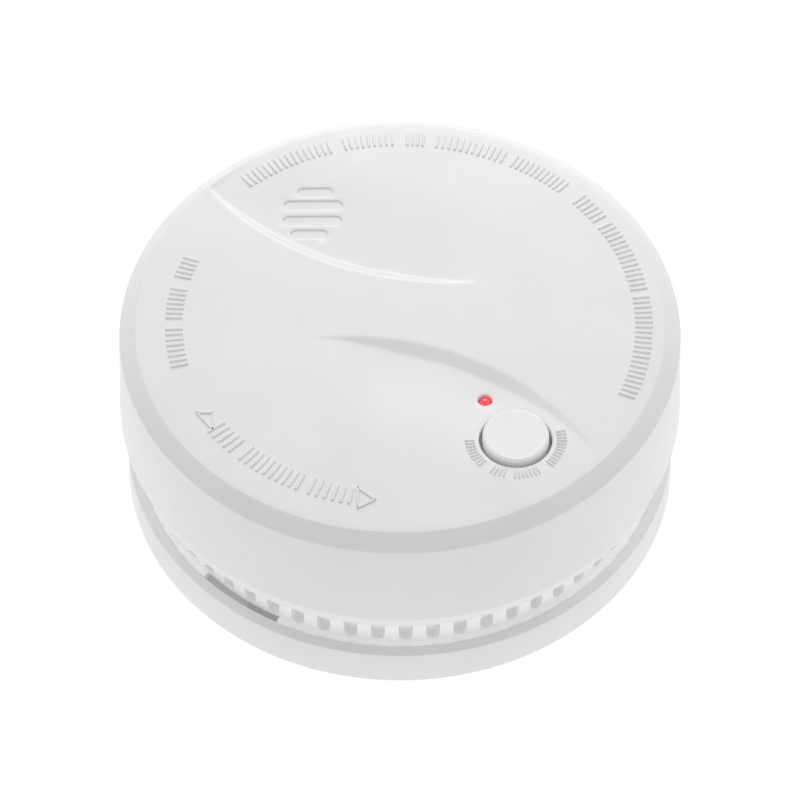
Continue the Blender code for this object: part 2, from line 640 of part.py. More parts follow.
def make_horn():
    wall, neck = 1.1, 4.0
    resonator = turned([
        (neck, HORN_TOP_Z), (HORN_RADIUS, HORN_TOP_Z), (HORN_RADIUS, HORN_LOW_Z),
        (HORN_RADIUS - wall, HORN_LOW_Z), (HORN_RADIUS - wall, HORN_TOP_Z - 1.4), (neck, HORN_TOP_Z - 1.4),
    ], HORN, 36, ring=True)
    place(resonator, "horn_resonator", "chamber_black")
    place(cylinder(12.5, 30.0, 30.4, HORN, 36), "horn_disc", "brass")
    place(cylinder(9.0, 29.4, 29.7, HORN, 28), "horn_ceramic", "ceramic_white")
    for number, offset in enumerate((-10.8, 0.0, 10.8), start=1):
        high = 29.1 if offset == 0.0 else 29.7
        contact = cylinder(0.6, ON_BOARD_Z, high, (HORN[0] + offset, HORN[1]), 12)
        place(contact, f"horn_contact_{number}", "plated_steel")


# ---------------------------------------------------------------- fasteners

def make_screw(name, centre, head_top_z, reach):
    """A pan-head screw, its head below and its shank up, with a straight driver slot."""
    head_low = head_top_z - SCREW_HEAD_HEIGHT
    tip = head_top_z + reach
    screw = turned([
        (0.0, tip), (0.5, tip), (SCREW_RADIUS, tip - 1.6), (SCREW_RADIUS, head_top_z),
        (SCREW_HEAD_RADIUS, head_top_z), (SCREW_HEAD_RADIUS, head_low + 0.5),
        (SCREW_HEAD_RADIUS - 0.5, head_low), (0.0, head_low),
    ], centre, 14)
    cut(screw, block((6.0, 0.7, 1.2), (*centre, head_low)))
    place(screw, name, "steel")


def make_screws():
    for number, post in enumerate(HOUSING_POSTS, start=1):
        make_screw(f"housing_screw_{number}", post, BAND_FOOT_Z - GAP, 11.0)
    for number, post in enumerate(BOARD_POSTS, start=1):
        make_screw(f"board_screw_{number}", post, BOARD_LOW_Z - GAP, 8.0)


clear_scene()
PIECES = new_collection("smoke_alarm")
CUTTERS = new_collection("cutters")
LOOKS = {
    "cover_white": make_material("cover_white", (0.86, 0.86, 0.86), 0.42),
    "bracket_white": make_material("bracket_white", (0.84, 0.84, 0.84), 0.45),
    "button_white": make_material("button_white", (0.89, 0.89, 0.89), 0.38),
    "seal_grey": make_material("seal_grey", (0.35, 0.35, 0.36), 0.9),
    "led_red": make_material("led_red", (0.85, 0.05, 0.05), 0.2),
    "board_green": make_material("board_green", (0.05, 0.25, 0.10), 0.4),
    "chip_black": make_material("chip_black", (0.02, 0.02, 0.02), 0.5),
    "chamber_black": make_material("chamber_black", (0.015, 0.015, 0.015), 0.7),
    "connector_black": make_material("connector_black", (0.03, 0.03, 0.03), 0.6),
    "lens_clear": make_material("lens_clear", (0.75, 0.80, 0.85), 0.1),
    "lens_dark": make_material("lens_dark", (0.05, 0.04, 0.07), 0.15),
    "capacitor_sleeve": make_material("capacitor_sleeve", (0.05, 0.07, 0.20), 0.35),
    "resistor_tan": make_material("resistor_tan", (0.62, 0.48, 0.32), 0.5),
    "battery_jacket": make_material("battery_jacket", (0.10, 0.12, 0.16), 0.35, 0.4),
    "lead_red": make_material("lead_red", (0.55, 0.03, 0.03), 0.5),
    "lead_black": make_material("lead_black", (0.02, 0.02, 0.02), 0.5),
    "steel": make_material("steel", (0.60, 0.60, 0.61), 0.3, 1.0),
    "plated_steel": make_material("plated_steel", (0.72, 0.72, 0.72), 0.25, 1.0),
    "brass": make_material("brass", (0.78, 0.60, 0.28), 0.3, 1.0),
    "ceramic_white": make_material("ceramic_white", (0.80, 0.78, 0.72), 0.5),
}
make_bracket()
make_seal()
make_cover()
make_housing()
make_battery_door()
make_battery()
make_board()
make_board_parts()
make_lamp()
make_test_switch()
make_chamber()
make_horn()
make_screws()
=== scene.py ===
"""Looks of the twist-on smoke alarm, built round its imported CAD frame.

Lengths in the shape code are in millimetres, in the frame's own axes; MM turns them into metres.
"""
import json
import math

import bmesh
import bpy
import numpy as np
from mathutils import Matrix, Vector
from mathutils.geometry import delaunay_2d_cdt


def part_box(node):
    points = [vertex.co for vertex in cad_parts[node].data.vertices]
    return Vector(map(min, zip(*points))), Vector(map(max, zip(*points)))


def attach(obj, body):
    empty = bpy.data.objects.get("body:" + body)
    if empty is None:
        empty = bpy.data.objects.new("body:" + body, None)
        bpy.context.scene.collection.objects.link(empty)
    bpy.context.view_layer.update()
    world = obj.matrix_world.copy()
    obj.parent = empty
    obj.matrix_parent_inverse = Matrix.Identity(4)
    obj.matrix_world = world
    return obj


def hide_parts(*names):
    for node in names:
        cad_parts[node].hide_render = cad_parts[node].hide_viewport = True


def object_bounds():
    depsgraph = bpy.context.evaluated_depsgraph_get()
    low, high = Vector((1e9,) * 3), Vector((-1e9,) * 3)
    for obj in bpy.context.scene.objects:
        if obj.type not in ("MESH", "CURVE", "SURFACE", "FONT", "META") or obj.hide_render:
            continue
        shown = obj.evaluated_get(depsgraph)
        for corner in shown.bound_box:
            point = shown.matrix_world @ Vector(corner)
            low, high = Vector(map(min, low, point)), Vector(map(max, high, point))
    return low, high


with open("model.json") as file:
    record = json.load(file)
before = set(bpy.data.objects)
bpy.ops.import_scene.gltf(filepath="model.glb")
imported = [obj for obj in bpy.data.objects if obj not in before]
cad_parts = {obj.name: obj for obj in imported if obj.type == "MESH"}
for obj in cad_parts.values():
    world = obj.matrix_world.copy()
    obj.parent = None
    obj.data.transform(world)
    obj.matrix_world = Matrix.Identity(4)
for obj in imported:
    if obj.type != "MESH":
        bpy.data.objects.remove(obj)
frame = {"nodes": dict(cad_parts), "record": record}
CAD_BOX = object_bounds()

MM = 0.001


def box_mm(node):
    low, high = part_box(node)
    return low / MM, high / MM


def middle_mm(node):
    low, high = box_mm(node)
    return (low + high) / 2


# Sizes read from the frame
COVER_HIGH = box_mm("front_cover")[1]
HOUSING_HIGH = box_mm("rear_housing")[1]
BRACKET_HIGH = box_mm("mounting_bracket")[1]
BUTTON_LOW, BUTTON_HIGH = box_mm("test_button")
LAMP_LOW, LAMP_HIGH = box_mm("led_light_pipe")
BATTERY_LOW, BATTERY_HIGH = box_mm("battery_case")
BUTTON = middle_mm("test_button")
LAMP = middle_mm("led_light_pipe")
HORN = middle_mm("horn_resonator")

# Front cover
FACE_Z = COVER_HIGH.z
SKIRT_RADIUS = COVER_HIGH.x
SKIRT_Z = 19.5
HEM_Z, HEM_RADIUS = 16.6, SKIRT_RADIUS - 0.8
SHOULDER_RADIUS, SHOULDER_Z = SKIRT_RADIUS - 0.9, FACE_Z - 2.15
FACE_RADIUS = SHOULDER_RADIUS - 2.95
WALL = 1.8
FACE_UNDERSIDE_Z = FACE_Z - 2.2
SPOKES = 360
LIP_FILLET = 0.18
HOLE_EDGE_Z = FACE_UNDERSIDE_Z + 0.3

# Vent band
BAND_RADIUS, BAND_FOOT_Z = 47.2, 7.03
FLOOR_TOP_Z = 8.8
VENT_LOW_Z, VENT_TOP_Z = 7.7, 13.5
VENT_COUNT, VENT_WIDTH, VENT_OFFSET_DEG = 60, 2.5, 1.2

# Button, lamp and grille openings in the face
BUTTON_RADIUS, BUTTON_HOLE_RADIUS = 5.85, 6.45
LAMP_RADIUS, LAMP_HOLE_RADIUS = 1.05, 1.3
GRILLE_SPOTS = ((0.0, 30.9), (-0.4, 27.85), (-0.5, 24.2), (-1.0, 21.0))
GRILLE_LENGTHS = (6.6, 10.8, 10.8, 6.8)
GRILLE_WIDTH, GRILLE_DEPTH = 2.1, 0.3

# Scoops in the face: arc centre, arc radius, direction of the inner end and of the end at the rim, width of
# the steep band, and how early the band narrows toward the rim
SCOOPS = (
    ((-9.3, -53.0), 49.2, 97.2, 24.5, 2.36, 1.7),
    ((9.3, 64.0), 55.1, -84.3, -145.5, 1.65, 0.9),
)
SCOOP_SLOPE = math.tan(math.radians(23.0))
SCOOP_RISE = 22.0
CREASE = 0.25


# ---------------------------------------------------------------- camera, light and floor

VIEW_ELEVATION_DEG = 51.37
VIEW_DISTANCE = 0.7364
VIEW_TARGET_Z = 0.0172


def make_camera():
    camera = bpy.data.objects.new("camera", bpy.data.cameras.new("camera"))
    bpy.context.scene.collection.objects.link(camera)
    elevation = math.radians(VIEW_ELEVATION_DEG)
    back = Vector((0.0, -math.cos(elevation), math.sin(elevation)))
    camera.location = Vector((0.0, 0.0, VIEW_TARGET_Z)) + back * VIEW_DISTANCE
    camera.rotation_euler = (-back).to_track_quat("-Z", "Y").to_euler()
    camera.data.lens = 180.0
    camera.data.sensor_width = 36.0
    camera.data.clip_start, camera.data.clip_end = 0.01, 20.0
    bpy.context.scene.camera = camera


def make_area_light(name, spot, size, power, target=(0.0, 0.0, 0.03)):
    light = bpy.data.lights.new(name, "AREA")
    light.shape = "DISK"
    light.size = size
    light.energy = power
    obj = bpy.data.objects.new(name, light)
    bpy.context.scene.collection.objects.link(obj)
    obj.location = spot
    obj.rotation_euler = (Vector(target) - Vector(spot)).to_track_quat("-Z", "Y").to_euler()


def make_studio():
    scene = bpy.context.scene
    scene.view_settings.view_transform = "Standard"
    scene.world = make_backdrop()
    make_area_light("left_softbox", (-0.27, 0.10, 0.40), 0.25, 0.22)
    make_area_light("right_softbox", (0.27, 0.10, 0.40), 0.22, 0.24)
    make_area_light("back_softbox", (0.02, 0.52, 0.36), 0.30, 0.9)
    make_floor()


def make_backdrop():
    """White all round, brighter behind the alarm than in front of it."""
    world = bpy.data.worlds.new("studio")
    world.use_nodes = True
    nodes, links = world.node_tree.nodes, world.node_tree.links
    way = nodes.new("ShaderNodeSeparateXYZ")
    links.new(nodes.new("ShaderNodeTexCoord").outputs["Generated"], way.inputs["Vector"])
    strength = nodes.new("ShaderNodeMapRange")
    links.new(way.outputs["Y"], strength.inputs["Value"])
    for key, value in (("From Min", -0.2), ("From Max", 0.9), ("To Min", 0.50), ("To Max", 0.68)):
        strength.inputs[key].default_value = value
    links.new(strength.outputs["Result"], nodes["Background"].inputs["Strength"])
    nodes["Background"].inputs["Color"].default_value = (1.0, 1.0, 1.0, 1.0)
    return world


def make_floor():
    """White paper that glows evenly all round the alarm, with a painted shadow: its glow is dimmer where the
    alarm covers it.
    """
    bpy.ops.mesh.primitive_plane_add(size=6.0, location=(0.0, 0.0, CAD_BOX[0].z - 0.0002))
    floor = bpy.context.object
    floor.name = "studio_floor"
    n = Nodes("white_paper")
    edge = BRACKET_HIGH.x * MM
    # Painted shadow: the floor's glow is 0.3 under the alarm and 0.9 outside the bracket's edge
    n.finish(Base_Color=(0.2, 0.2, 0.2, 1.0), Roughness=0.9, Emission_Color=(1.0, 1.0, 1.0, 1.0),
             Emission_Strength=n.ramp(n.measured("radius"), edge - 0.001, edge, 0.3, 0.90))
    n.shader.inputs["Specular IOR Level"].default_value = 0.0
    floor.data.materials.append(n.material)


# ---------------------------------------------------------------- materials

class Nodes:
    """A material's node tree with short ways to add and link nodes."""

    def __init__(self, name):
        self.material = bpy.data.materials.new(name)
        self.material.use_nodes = True
        self.tree = self.material.node_tree
        self.shader = self.tree.nodes["Principled BSDF"]
        self.place = self.tree.nodes.new("ShaderNodeTexCoord").outputs["Object"]

    def add(self, kind, **inputs):
        node = self.tree.nodes.new(kind)
        for key, value in inputs.items():
            self.set(node, key.replace("_", " "), value)
        return node

    def set(self, node, key, value):
        socket = node.inputs[key]
        if isinstance(value, bpy.types.NodeSocket):
            self.tree.links.new(value, socket)
        else:
            socket.default_value = value

    def measured(self, measure):
        """A point's height, or its distance from the axis."""
        parts = self.add("ShaderNodeSeparateXYZ", Vector=self.place)
        if measure == "height":
            return parts.outputs["Z"]
        flat = self.add("ShaderNodeCombineXYZ", X=parts.outputs["X"], Y=parts.outputs["Y"])
        distance = self.tree.nodes.new("ShaderNodeVectorMath")
        distance.operation = "LENGTH"
        self.set(distance, 0, flat.outputs["Vector"])
        return distance.outputs["Value"]

    def noise(self, size_mm, detail=3.0, stretch=(1.0, 1.0, 1.0)):
        """Noise whose features are about size_mm across, stretched along the axes."""
        spread = self.add("ShaderNodeMapping", Vector=self.place, Scale=tuple(1.0 / s for s in stretch))
        node = self.add("ShaderNodeTexNoise", Vector=spread.outputs["Vector"], Detail=detail)
        node.inputs["Scale"].default_value = 1.0 / (size_mm * MM)
        return node.outputs["Fac"]

    def ramp(self, source, low, high, to_low, to_high):
        node = self.tree.nodes.new("ShaderNodeMapRange")
        self.set(node, "Value", source)
        for key, value in (("From Min", low), ("From Max", high), ("To Min", to_low), ("To Max", to_high)):
            node.inputs[key].default_value = value
        return node.outputs["Result"]

    def product(self, first, second):
        node = self.tree.nodes.new("ShaderNodeMath")
        node.operation = "MULTIPLY"
        self.set(node, 0, first)
        self.set(node, 1, second)
        return node.outputs["Value"]

    def blend(self, source, first, second):
        node = self.tree.nodes.new("ShaderNodeMix")
        node.data_type = "RGBA"
        self.tree.links.new(source, node.inputs[0])
        for key, value in ((6, first), (7, second)):
            if isinstance(value, bpy.types.NodeSocket):
                self.tree.links.new(value, node.inputs[key])
            else:
                node.inputs[key].default_value = (*value, 1.0)
        return node.outputs[2]

    def bump(self, height, depth_mm, strength=1.0, base=None):
        node = self.tree.nodes.new("ShaderNodeBump")
        self.set(node, "Height", height)
        node.inputs["Distance"].default_value = depth_mm * MM
        node.inputs["Strength"].default_value = strength
        if base is not None:
            self.set(node, "Normal", base)
        return node.outputs["Normal"]

    def finish(self, **inputs):
        for key, value in inputs.items():
            self.set(self.shader, key.replace("_", " "), value)
        return self.material


def plastic(name, colour, roughness, grain_mm=0.35, grain_depth_mm=0.006, shade=0.975, glow=None):
    """Moulded plastic: spark-eroded grain, faint flow mottling and uneven gloss.

    A glow is painted light: a faint emission that keeps shaded white walls from coming out too dark. It gives
    its strength, then measures of place with where it starts and where it is full.
    """
    n = Nodes(name)
    mottling = n.noise(14.0, 2.0)
    grain = n.noise(grain_mm, 4.0)
    dark = tuple(c * shade for c in colour)
    waves = n.bump(n.noise(9.0, 1.0), 0.02, 0.25)
    n.finish(
        Base_Color=n.blend(n.ramp(mottling, 0.35, 0.65, 0.0, 1.0), dark, colour),
        Roughness=n.ramp(n.noise(3.0, 3.0), 0.3, 0.7, roughness - 0.05, roughness + 0.05),
        Normal=n.bump(grain, grain_depth_mm, 0.6, waves))
    # Painted light: a white emission that brightens shaded walls, full where every measure reaches its full
    # value
    if glow:
        top, (measure, start_mm, full_mm), *limits = glow
        strength = n.ramp(n.measured(measure), start_mm * MM, full_mm * MM, 0.0, top)
        for measure, start_mm, full_mm in limits:
            share = n.ramp(n.measured(measure), start_mm * MM, full_mm * MM, 0.0, 1.0)
            strength = n.product(strength, share)
        n.finish(Emission_Color=(1.0, 1.0, 1.0, 1.0), Emission_Strength=strength)
    return n.material


def metal(name, colour, roughness, stretch=(12.0, 1.0, 1.0)):
    """Drawn or plated metal with fine lines and patchy tarnish."""
    n = Nodes(name)
    lines = n.noise(0.12, 2.0, stretch)
    tarnish = n.noise(2.5, 3.0)
    dark = tuple(c * 0.8 for c in colour)
    return n.finish(
        Base_Color=n.blend(n.ramp(tarnish, 0.45, 0.75, 0.0, 1.0), colour, dark),
        Metallic=1.0,
        Roughness=n.ramp(lines, 0.3, 0.7, roughness - 0.08, roughness + 0.12),
        Normal=n.bump(lines, 0.004, 0.5))


def clear_lens(name, colour, depth, lit=0.0):
    """Clear or tinted plastic with faint swirls; lit is the strength of its own glow."""
    n = Nodes(name)
    swirl = n.noise(1.2, 1.0)
    return n.finish(
        Emission_Color=(*colour, 1.0),
        Emission_Strength=lit,
        Base_Color=n.blend(swirl, tuple(c * depth for c in colour), colour),
        Roughness=n.ramp(swirl, 0.3, 0.7, 0.08, 0.16),
        Coat_Weight=0.6,
        Coat_Roughness=0.05)


WHITE = (0.92, 0.92, 0.92)
DEEP_WHITE = (0.95, 0.95, 0.95)
# Painted light: faint emission on the housing's vent band and on the bracket's groove, lifting the shade
# under the skirt
BAND_PAINTED_LIGHT = (0.14, ("radius", 44.0, 44.8), ("height", 6.9, 7.1))
LEDGE_PAINTED_LIGHT = (0.13, ("radius", 48.7, 48.2), ("height", 5.0, 6.2))
LOOKS = {}


def make_looks():
    LOOKS.update({
        "cover_white": plastic("abs_cover", WHITE, 0.34),
        "housing_white": plastic("abs_housing", DEEP_WHITE, 0.42, glow=BAND_PAINTED_LIGHT),
        "bracket_white": plastic("abs_bracket", DEEP_WHITE, 0.46, glow=LEDGE_PAINTED_LIGHT),
        "button_white": plastic("abs_button", (1.0, 1.0, 1.0), 0.38, 0.3, 0.002, 0.995),
        "seal_grey": plastic("foam_seal", (0.30, 0.30, 0.31), 0.9, 0.5, 0.12, 0.7),
        "led_red": clear_lens("red_lens", (0.98, 0.05, 0.06), 0.85, 0.45),
        "board_green": plastic("solder_mask", (0.03, 0.20, 0.08), 0.3, 0.6, 0.01, 0.75),
        "chip_black": plastic("epoxy_black", (0.025, 0.025, 0.027), 0.55, 0.15, 0.01, 0.8),
        "chamber_black": plastic("chamber_black", (0.012, 0.012, 0.013), 0.7, 0.3, 0.02, 0.7),
        "connector_black": plastic("vinyl_black", (0.03, 0.03, 0.032), 0.5, 0.6, 0.03, 0.8),
        "lens_clear": clear_lens("clear_lens", (0.75, 0.80, 0.85), 0.9),
        "lens_dark": clear_lens("dark_lens", (0.05, 0.04, 0.07), 0.7),
        "capacitor_sleeve": plastic("capacitor_sleeve", (0.03, 0.05, 0.18), 0.35, 0.8, 0.02, 0.7),
        "resistor_tan": plastic("resistor_lacquer", (0.62, 0.46, 0.30), 0.4, 0.4, 0.02, 0.85),
        "battery_jacket": plastic("battery_jacket", (0.09, 0.11, 0.16), 0.32, 0.5, 0.006, 0.8),
        "lead_red": plastic("lead_red", (0.55, 0.02, 0.02), 0.42, 0.5, 0.01, 0.8),
        "lead_black": plastic("lead_black", (0.02, 0.02, 0.02), 0.42, 0.5, 0.01, 0.7),
        "steel": metal("zinc_steel", (0.62, 0.62, 0.64), 0.32),
        "plated_steel": metal("nickel_plate", (0.74, 0.73, 0.70), 0.24),
        "brass": metal("rolled_brass", (0.80, 0.60, 0.27), 0.30),
        "ceramic_white": plastic("piezo_ceramic", (0.78, 0.76, 0.70), 0.55, 0.2, 0.01, 0.9),
    })


def dress_cad_nodes():
    """Every CAD node gets the procedural material of its slot."""
    for row in frame["record"]["subparts"]:
        obj = frame["nodes"][row["node"]]
        obj.data.materials.clear()
        obj.data.materials.append(LOOKS[row["material_slot"]])


# ---------------------------------------------------------------- mesh helpers

ALONG_X = Matrix(((0, 0, 1, 0), (1, 0, 0, 0), (0, 1, 0, 0), (0, 0, 0, 1)))


def make_object(name, points, faces, sharp_deg=35.0):
    """A mesh object from points in millimetres, with its faces turned outwards."""
    mesh = bpy.data.meshes.new(name)
    mesh.from_pydata([Vector(p) * MM for p in points], [], faces)
    work = bmesh.new()
    work.from_mesh(mesh)
    bmesh.ops.recalc_face_normals(work, faces=work.faces)
    work.to_mesh(mesh)
    work.free()
    obj = bpy.data.objects.new(name, mesh)
    bpy.context.scene.collection.objects.link(obj)
    return shade(obj, sharp_deg)


def shade(obj, sharp_deg=35.0):
    obj.data.shade_smooth()
    obj.data.set_sharp_from_angle(angle=math.radians(sharp_deg))
    return obj


def rounded(corners, closed=True, step_deg=18.0):
    """A chain of (a, b, fillet) corners with each fillet drawn as an arc."""
    count = len(corners)
    chain = []
    for i, (a, b, fillet) in enumerate(corners):
        here = Vector((a, b))
        if fillet == 0.0 or (not closed and i in (0, count - 1)):
            chain.append((a, b))
            continue
        before = Vector(corners[i - 1][:2]) - here
        after = Vector(corners[(i + 1) % count][:2]) - here
        half = before.angle(after) / 2
        middle = (before.normalized() + after.normalized()).normalized()
        centre = here + middle * (fillet / math.sin(half))
        start = here + before.normalized() * (fillet / math.tan(half)) - centre
        sweep = start.angle_signed(here + after.normalized() * (fillet / math.tan(half)) - centre)
        steps = max(2, math.ceil(abs(math.degrees(sweep)) / step_deg))
        for k in range(steps + 1):
            turn = Matrix.Rotation(-sweep * k / steps, 2)
            chain.append(tuple(centre + turn @ start))
    return chain


def turned(name, profile, segments=180, centre=(0.0, 0.0), ring=True, sharp_deg=35.0):
    """A turned solid: a closed ring of (radius, z) points, or a chain whose ends are on the axis."""
    points, rings = [], []
    for radius, z in profile:
        if radius < 1e-6:
            rings.append([len(points)] * segments)
            points.append((centre[0], centre[1], z))
            continue
        rings.append(range(len(points), len(points) + segments))
        for k in range(segments):
            angle = 2 * math.pi * k / segments
            x, y = centre[0] + radius * math.cos(angle), centre[1] + radius * math.sin(angle)
            points.append((x, y, z))
    pairs = list(zip(rings, rings[1:]))
    if ring:
        pairs.append((rings[-1], rings[0]))
    return make_object(name, points, [f for a, b in pairs for f in strip(a, b)], sharp_deg)


def strip(a, b):
    """Faces between two closed rings of as many points each."""
    faces = []
    for k in range(len(a)):
        n = (k + 1) % len(a)
        corners = list(dict.fromkeys((a[k], a[n], b[n], b[k])))
        if len(corners) > 2:
            faces.append(corners)
    return faces


def circle(radius, count, centre=(0.0, 0.0)):
    angles = [2 * math.pi * k / count for k in range(count)]
    return [(centre[0] + radius * math.cos(a), centre[1] + radius * math.sin(a)) for a in angles]


def arc(radius, start_deg, end_deg, steps, centre=(0.0, 0.0)):
    angles = [math.radians(start_deg + (end_deg - start_deg) * k / steps) for k in range(steps + 1)]
    return [(centre[0] + radius * math.cos(a), centre[1] + radius * math.sin(a)) for a in angles]


def stadium(length, width, centre=(0.0, 0.0), steps=8):
    reach = (length - width) / 2
    return (arc(width / 2, -90, 90, steps, (centre[0] + reach, centre[1]))
            + arc(width / 2, 90, 270, steps, (centre[0] - reach, centre[1])))


def carve(target, tool, operation="DIFFERENCE", sharp_deg=35.0):
    """Cuts the tool out of the target, or joins the two, and removes the tool."""
    modifier = target.modifiers.new("carve", "BOOLEAN")
    modifier.operation = operation
    modifier.solver = "MANIFOLD"
    modifier.object = tool
    bpy.context.view_layer.update()
    graph = bpy.context.evaluated_depsgraph_get()
    mesh = bpy.data.meshes.new_from_object(target.evaluated_get(graph))
    target.modifiers.clear()
    target.data = mesh
    bpy.data.objects.remove(tool)
    return shade(target, sharp_deg)


def prism(name, outline, low, high, chamfer=0.0, sharp_deg=35.0):
    """A convex outline raised from low to high, with a chamfer round its top."""
    rings = [(outline, low), (outline, high - chamfer)]
    if chamfer:
        rings.append((inset(outline, chamfer), high))
    points = [(x, y, z) for loop, z in rings for x, y in loop]
    count = len(outline)
    index = [range(i * count, (i + 1) * count) for i in range(len(rings))]
    faces = [list(index[0]), list(index[-1])]
    for a, b in zip(index, index[1:]):
        faces += strip(a, b)
    return make_object(name, points, faces, sharp_deg)


def laid(obj, spot):
    """Turns a piece that was made standing on the origin to lie along X, with its foot at a spot."""
    obj.data.transform(Matrix.Translation(spot * MM) @ ALONG_X)
    return obj


def inset(outline, distance):
    """A convex outline moved in on every side by a distance."""
    moved = []
    for k, here in enumerate(outline):
        before, after = Vector(outline[k - 1]), Vector(outline[(k + 1) % len(outline)])
        along = (after - before).normalized()
        moved.append(tuple(Vector(here) + Vector((-along.y, along.x)) * distance))
    return moved


def joined(name, objects, sharp_deg=35.0):
    """Several closed shapes as one object."""
    work = bmesh.new()
    for obj in objects:
        obj.data.transform(obj.matrix_world)
        work.from_mesh(obj.data)
        bpy.data.objects.remove(obj)
    mesh = bpy.data.meshes.new(name)
    work.to_mesh(mesh)
    work.free()
    whole = bpy.data.objects.new(name, mesh)
    bpy.context.scene.collection.objects.link(whole)
    return shade(whole, sharp_deg)


def spun(obj, angles_deg):
    """Copies of an object turned about the Z axis, as one object."""
    copies = []
    for angle in angles_deg:
        copy = obj.copy()
        copy.data = obj.data.copy()
        copy.data.transform(Matrix.Rotation(math.radians(angle), 4, "Z"))
        bpy.context.scene.collection.objects.link(copy)
        copies.append(copy)
    name = obj.name
    bpy.data.objects.remove(obj)
    return joined(name, copies)


def fit(obj, body, slot, *nodes, look=None):
    """Gives a finished piece its body, its look and the CAD nodes that it stands for."""
    obj.data.materials.clear()
    obj.data.materials.append(LOOKS[look or slot])
    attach(obj, body)
    if nodes:
        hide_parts(*nodes)
    return obj


# ---------------------------------------------------------------- front cover

def ramp_up(x):
    """max(0, x) with its corner rounded over the crease's width."""
    return np.where(x > CREASE, x, np.where(x < -CREASE, 0.0, (x + CREASE) ** 2 / (4 * CREASE)))


def band_width(t, widest, narrowing):
    """Width of a scoop's steep band along its arc, from t = 0 at the inner end to 1 at the rim."""
    t = np.clip(t, 0.0, 1.0)
    start = np.sin(np.minimum(t / 0.33, 1.0) * math.pi / 2) ** 1.3
    end = np.maximum(np.sin(np.minimum((1.0 - t) / 0.5, 1.0) * math.pi / 2), 0.0) ** narrowing
    return widest * start * end


def scoop_drop(x, y, scoop):
    """How far a scoop lowers the face: down a steep band from its arc, then back up by a long soft rise."""
    (cx, cy), radius, inner_deg, rim_deg, widest, narrowing = scoop
    azimuth = np.degrees(np.arctan2(y - cy, x - cx))
    width = band_width((inner_deg - azimuth) / (inner_deg - rim_deg), widest, narrowing)
    inward = radius - np.hypot(x - cx, y - cy)
    rise = np.clip((inward - width) / SCOOP_RISE, 0.0, 1.0)
    fade = 1.0 - rise * rise * (3.0 - 2.0 * rise)
    return SCOOP_SLOPE * (ramp_up(inward) - ramp_up(inward - width)) * fade


def face_height(x, y):
    x, y = np.asarray(x, float), np.asarray(y, float)
    return FACE_Z - sum(scoop_drop(x, y, scoop) for scoop in SCOOPS)


def grille_outlines(grow=0.0):
    return [stadium(length + 2 * grow, GRILLE_WIDTH + 2 * grow, (HORN.x + x, y))
            for (x, y), length in zip(GRILLE_SPOTS, GRILLE_LENGTHS)]


def scoop_rows():
    """Rows of points along each scoop's two creases, so that the mesh follows them."""
    rows = []
    t = np.linspace(0.005, 0.995, 110)
    for (cx, cy), radius, inner_deg, rim_deg, widest, narrowing in SCOOPS:
        width = band_width(t, widest, narrowing)
        angle = np.radians(inner_deg + (rim_deg - inner_deg) * t)
        for inward in (0 * t, width, 0 * t - CREASE, 0 * t + CREASE, width + CREASE, width - CREASE,
                       width / 2, width + 3 * CREASE, 0 * t - 3 * CREASE):
            rho = radius - inward
            rows.append(np.stack([cx + rho * np.cos(angle), cy + rho * np.sin(angle)], 1))
    return rows


def spaced(points, fixed, gap):
    """The points that are at least a gap away from the fixed ones."""
    away = np.linalg.norm(points[:, None, :] - fixed[None, :, :], axis=2).min(1)
    return points[away > gap]


def face_points(loops):
    """Points inside the face, denser along the creases, clear of the loops."""
    fixed = np.array([p for loop in loops for p in loop])
    limit = np.linalg.norm(fixed, axis=1).max() - 0.4
    chosen = np.zeros((0, 2))
    for row in scoop_rows():
        row = spaced(row[np.linalg.norm(row, axis=1) < limit], np.vstack([fixed, chosen]), 0.2)
        chosen = np.vstack([chosen, row])
    step = 1.5
    count = int(limit / step) + 2
    i, j = np.meshgrid(np.arange(-2 * count, 2 * count), np.arange(-2 * count, 2 * count))
    grid = np.stack([(i + j / 2).ravel(), (j * math.sqrt(3) / 2).ravel()], 1) * step
    grid = grid[np.linalg.norm(grid, axis=1) < limit - 0.3]
    grid = spaced(grid, np.vstack([fixed, chosen]), 0.6)
    return np.vstack([chosen, grid])


def inside_any(x, y, loops):
    """Whether a point lies inside one of some convex outlines."""
    for loop in loops:
        if all((bx - ax) * (y - ay) - (by - ay) * (x - ax) > 0
               for (ax, ay), (bx, by) in zip(loop, loop[1:] + loop[:1])):
            return True
    return False


def triangulated(outer, holes, loose):
    """Triangles between an outer loop and some holes, through loose points. The loops' points come first."""
    coords, edges = [], []
    for loop in [outer, *holes]:
        first = len(coords)
        coords += [Vector(p) for p in loop]
        edges += [(first + k, first + (k + 1) % len(loop)) for k in range(len(loop))]
    coords += [Vector(p) for p in loose]
    points, _, faces, source, _, _ = delaunay_2d_cdt(coords, edges, [], 0, 1e-6)
    where = {old: new for new, olds in enumerate(source) for old in olds}
    order = {where[k]: k for k in range(len(coords))}
    kept = []
    for face in faces:
        x = sum(points[k].x for k in face) / 3
        y = sum(points[k].y for k in face) / 3
        if not inside_any(x, y, holes):
            kept.append([order[k] for k in face])
    return coords, kept


class Shell:
    """Points and faces of one closed surface, grown ring by ring."""

    def __init__(self):
        self.points, self.faces = [], []

    def add_ring(self, loop, z):
        first = len(self.points)
        heights = z if hasattr(z, "__len__") else [z] * len(loop)
        self.points += [(x, y, h) for (x, y), h in zip(loop, heights)]
        return range(first, len(self.points))

    def join(self, a, b):
        self.faces += strip(a, b)
        return b

    def add_sheet(self, outer, holes, loose, height):
        """A triangulated sheet; returns the ring of each loop."""
        coords, faces = triangulated(outer, holes, loose)
        first = len(self.points)
        heights = height(np.array([c.x for c in coords]), np.array([c.y for c in coords]))
        self.points += [(c.x, c.y, float(h)) for c, h in zip(coords, heights)]
        self.faces += [[first + k for k in face] for face in faces]
        rings = []
        for loop in [outer, *holes]:
            rings.append(range(first, first + len(loop)))
            first += len(loop)
        return rings


